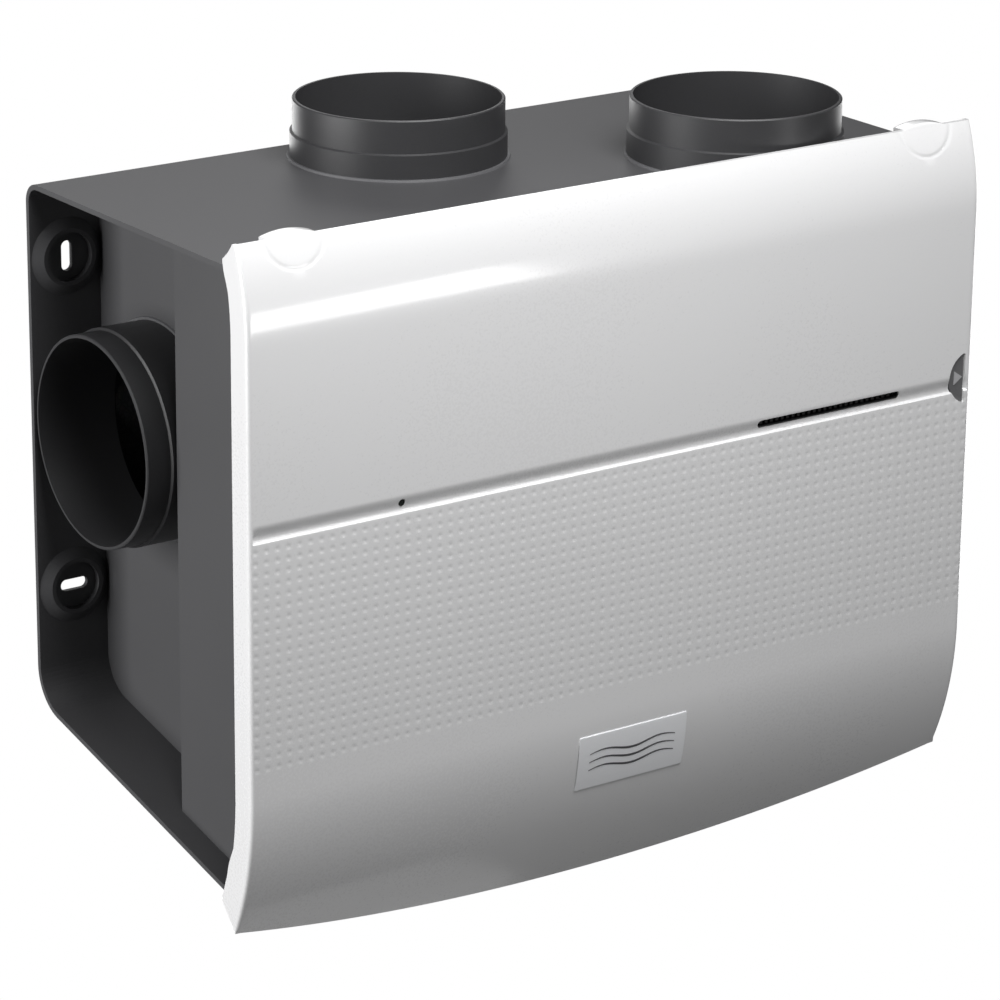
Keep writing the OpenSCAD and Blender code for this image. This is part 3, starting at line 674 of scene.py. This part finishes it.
PLATE_LEFT, PLATE_RIGHT, PLATE_LOW, PLATE_TOP = -32.0, 45.5, -193.0, -158.5
PLATE_PROUD = 0.6
PLATE_CORNER = 0.9
# how far in from the plate's edge, and how proud of the cover, each line of its rim is
PLATE_RIM = ((0.0, 0.0), (0.0, 0.35), (0.1, 0.5), (0.3, 0.58), (0.6, PLATE_PROUD))
PLATE_CUT = 3                       # height of the strips that let its face follow the curve


def plate_y(z, proud):
    """A place that stands proud of the cover's lower curve at height z."""
    return FACE_Y + R_LOW - math.sqrt((R_LOW + proud) ** 2 - (CURVE_LOW - z) ** 2)


def rounded_outline(x0, x1, z0, z1, r):
    """Outline of a rectangle with rounded corners."""
    return [p for x, z, start in ((x1 - r, z1 - r, 0), (x0 + r, z1 - r, 90),
                                  (x0 + r, z0 + r, 180), (x1 - r, z0 + r, 270))
            for p in arc(x, z, r, start, 90, 6)]


def plate():
    """The plate: a thin slab that follows the cover's lower curve."""
    bm = bmesh.new()
    rings = []
    for inset, proud in PLATE_RIM:
        line = rounded_outline(PLATE_LEFT + inset, PLATE_RIGHT - inset,
                               PLATE_LOW + inset, PLATE_TOP - inset, PLATE_CORNER - inset)
        rings.append(new_verts(bm, [(x, plate_y(z, proud), z) for x, z in line]))
    join_loops(bm, rings)
    bm.faces.new(rings[-1])
    for z in spread(PLATE_TOP - PLATE_CUT, PLATE_LOW + 2, PLATE_CUT):
        geom = [f for f in bm.faces if len(f.verts) > 4]
        geom += list({e for f in geom for e in f.edges})
        bmesh.ops.bisect_plane(bm, geom=geom, plane_co=(0, 0, z * MM), plane_no=(0, 0, 1))
    for v in bm.verts:
        if not any(v in ring for ring in rings):
            v.co.y = plate_y(v.co.z / MM, PLATE_PROUD) * MM
    bm.faces.new(list(reversed(rings[0])))
    return bm


add_object("cover_plate", plate(), "cover", "plate", ["name_plate"], sharp=30)

WAVE_LEFT, WAVE_RIGHT = -24, 37.5
WAVE_TOP, WAVE_GAP = -170.5, 5.2    # height of the first wavy line, and the next one's drop
WAVE_SWING, WAVE_COUNT = 1.6, 1.5
WAVE_WIDTH, WAVE_PROUD = 1.5, 0.75
WAVE_TIP = 0.35                     # width at an end as a share of the full width
WAVE_CREST = 0.8                    # width of its flat top as a share of its foot
WAVE_STEPS = 40


def wavy_line(bm, z_mid):
    """One raised wavy line on the plate, thinner at its ends."""
    rows = []
    for i in range(WAVE_STEPS + 1):
        t = i / WAVE_STEPS
        x = WAVE_LEFT + (WAVE_RIGHT - WAVE_LEFT) * t
        z = z_mid + WAVE_SWING * math.sin(2 * math.pi * WAVE_COUNT * t)
        half = WAVE_WIDTH * (WAVE_TIP + (1 - WAVE_TIP) * math.sin(math.pi * t)) / 2
        row = [(x, plate_y(z + half, PLATE_PROUD), z + half),
               (x, plate_y(z + half, WAVE_PROUD), z + half * WAVE_CREST),
               (x, plate_y(z - half, WAVE_PROUD), z - half * WAVE_CREST),
               (x, plate_y(z - half, PLATE_PROUD), z - half)]
        rows.append(row + row[:1])
    verts = sheet_of(bm, rows)
    for end in (verts[0], verts[-1]):
        bm.faces.new(end[:-1])


bm = bmesh.new()
for k in range(3):
    wavy_line(bm, WAVE_TOP - WAVE_GAP * k)
add_object("cover_plate_waves", bm, "cover", "seal")

# ---------------------------------------------------------------- stage, light and camera
# From here on lengths are metres.

FLOOR_HALF, FLOOR_Z = 0.8, -1.6

bm = bmesh.new()
bmesh.ops.create_grid(bm, x_segments=1, y_segments=1, size=FLOOR_HALF)
floor_mesh = bpy.data.meshes.new("floor")
bm.to_mesh(floor_mesh)
bm.free()
floor = bpy.data.objects.new("floor", floor_mesh)
bpy.context.scene.collection.objects.link(floor)
floor.location = (0, 0, FLOOR_Z)
floor_mesh.materials.append(grainy("floor_pale", (0.88, 0.88, 0.88), 0.01, 0.7, 30, 0.0))


def area(name, place, look_at, width, height, power, turn=0.0):
    """A rectangular lamp that lights the unit but is not seen itself."""
    data = bpy.data.lights.new(name, "AREA")
    data.shape = "RECTANGLE"
    data.size = width
    data.size_y = height
    data.energy = power
    obj = bpy.data.objects.new(name, data)
    bpy.context.scene.collection.objects.link(obj)
    obj.location = place
    aim = (Vector(look_at) - Vector(place)).to_track_quat("-Z", "Y").to_matrix()
    obj.rotation_euler = (aim @ Matrix.Rotation(math.radians(turn), 3, "Z")).to_euler()
    obj.visible_camera = False


area("top_box", (-0.1, -0.65, 0.95), (0, -0.2, 0), 0.8, 0.8, 16.5)
area("left_box", (-2.0, 0.25, 0.2), (-0.1, -0.1, 0.0), 1.4, 1.4, 47)
area("back_box", (1.2, 2.4, 1.2), (0, -0.1, 0.1), 1.6, 1.2, 7)
area("strip", (0.78, -1.95, -0.16), (-0.2, -0.25, 0.12), 0.56, 0.28, 3.7, turn=16)
area("rear_fill", (0.2, 2.2, -0.15), (0, 0, 0), 1.2, 0.8, 14)
area("right_fill", (2.0, 0.8, -0.45), (0.2, -0.1, 0), 1.0, 0.8, 8)

# white where the camera looks past the unit, a weak fill for everything else
WORLD_FILL = 0.05

world = bpy.data.worlds.new("studio")
bpy.context.scene.world = world
world.use_nodes = True
world_nodes, world_links = world.node_tree.nodes, world.node_tree.links
world_nodes.clear()
fill = node(world_nodes, "ShaderNodeBackground", Color=(1, 1, 1, 1), Strength=WORLD_FILL)
sky = node(world_nodes, "ShaderNodeBackground", Color=(1, 1, 1, 1), Strength=1.0)
rays = world_nodes.new("ShaderNodeLightPath")
pick = world_nodes.new("ShaderNodeMixShader")
out = world_nodes.new("ShaderNodeOutputWorld")
world_links.new(rays.outputs["Is Camera Ray"], pick.inputs["Fac"])
world_links.new(fill.outputs[0], pick.inputs[1])
world_links.new(sky.outputs[0], pick.inputs[2])
world_links.new(pick.outputs[0], out.inputs["Surface"])

CAMERA_AT = (-1.4032, -2.0836, 0.7640)
YAW = math.radians(35.6)
PITCH = math.radians(18.78)
ROLL = math.radians(0.598)
LENS, SENSOR = 154.9, 36            # millimetres

toward = Vector((math.sin(YAW) * math.cos(PITCH), math.cos(YAW) * math.cos(PITCH),
                 -math.sin(PITCH)))
level = Vector((math.cos(YAW), -math.sin(YAW), 0))
upward = level.cross(toward)
right = level * math.cos(ROLL) + upward * math.sin(ROLL)
up = upward * math.cos(ROLL) - level * math.sin(ROLL)
camera_data = bpy.data.cameras.new("camera")
camera_data.lens = LENS
camera_data.sensor_width = SENSOR
camera_data.clip_end = 60
camera = bpy.data.objects.new("camera", camera_data)
bpy.context.scene.collection.objects.link(camera)
camera.matrix_world = Matrix((
    (right.x, up.x, -toward.x, CAMERA_AT[0]),
    (right.y, up.y, -toward.y, CAMERA_AT[1]),
    (right.z, up.z, -toward.z, CAMERA_AT[2]),
    (0, 0, 0, 1)))
bpy.context.scene.camera = camera
bpy.context.scene.view_settings.view_transform = "Standard"
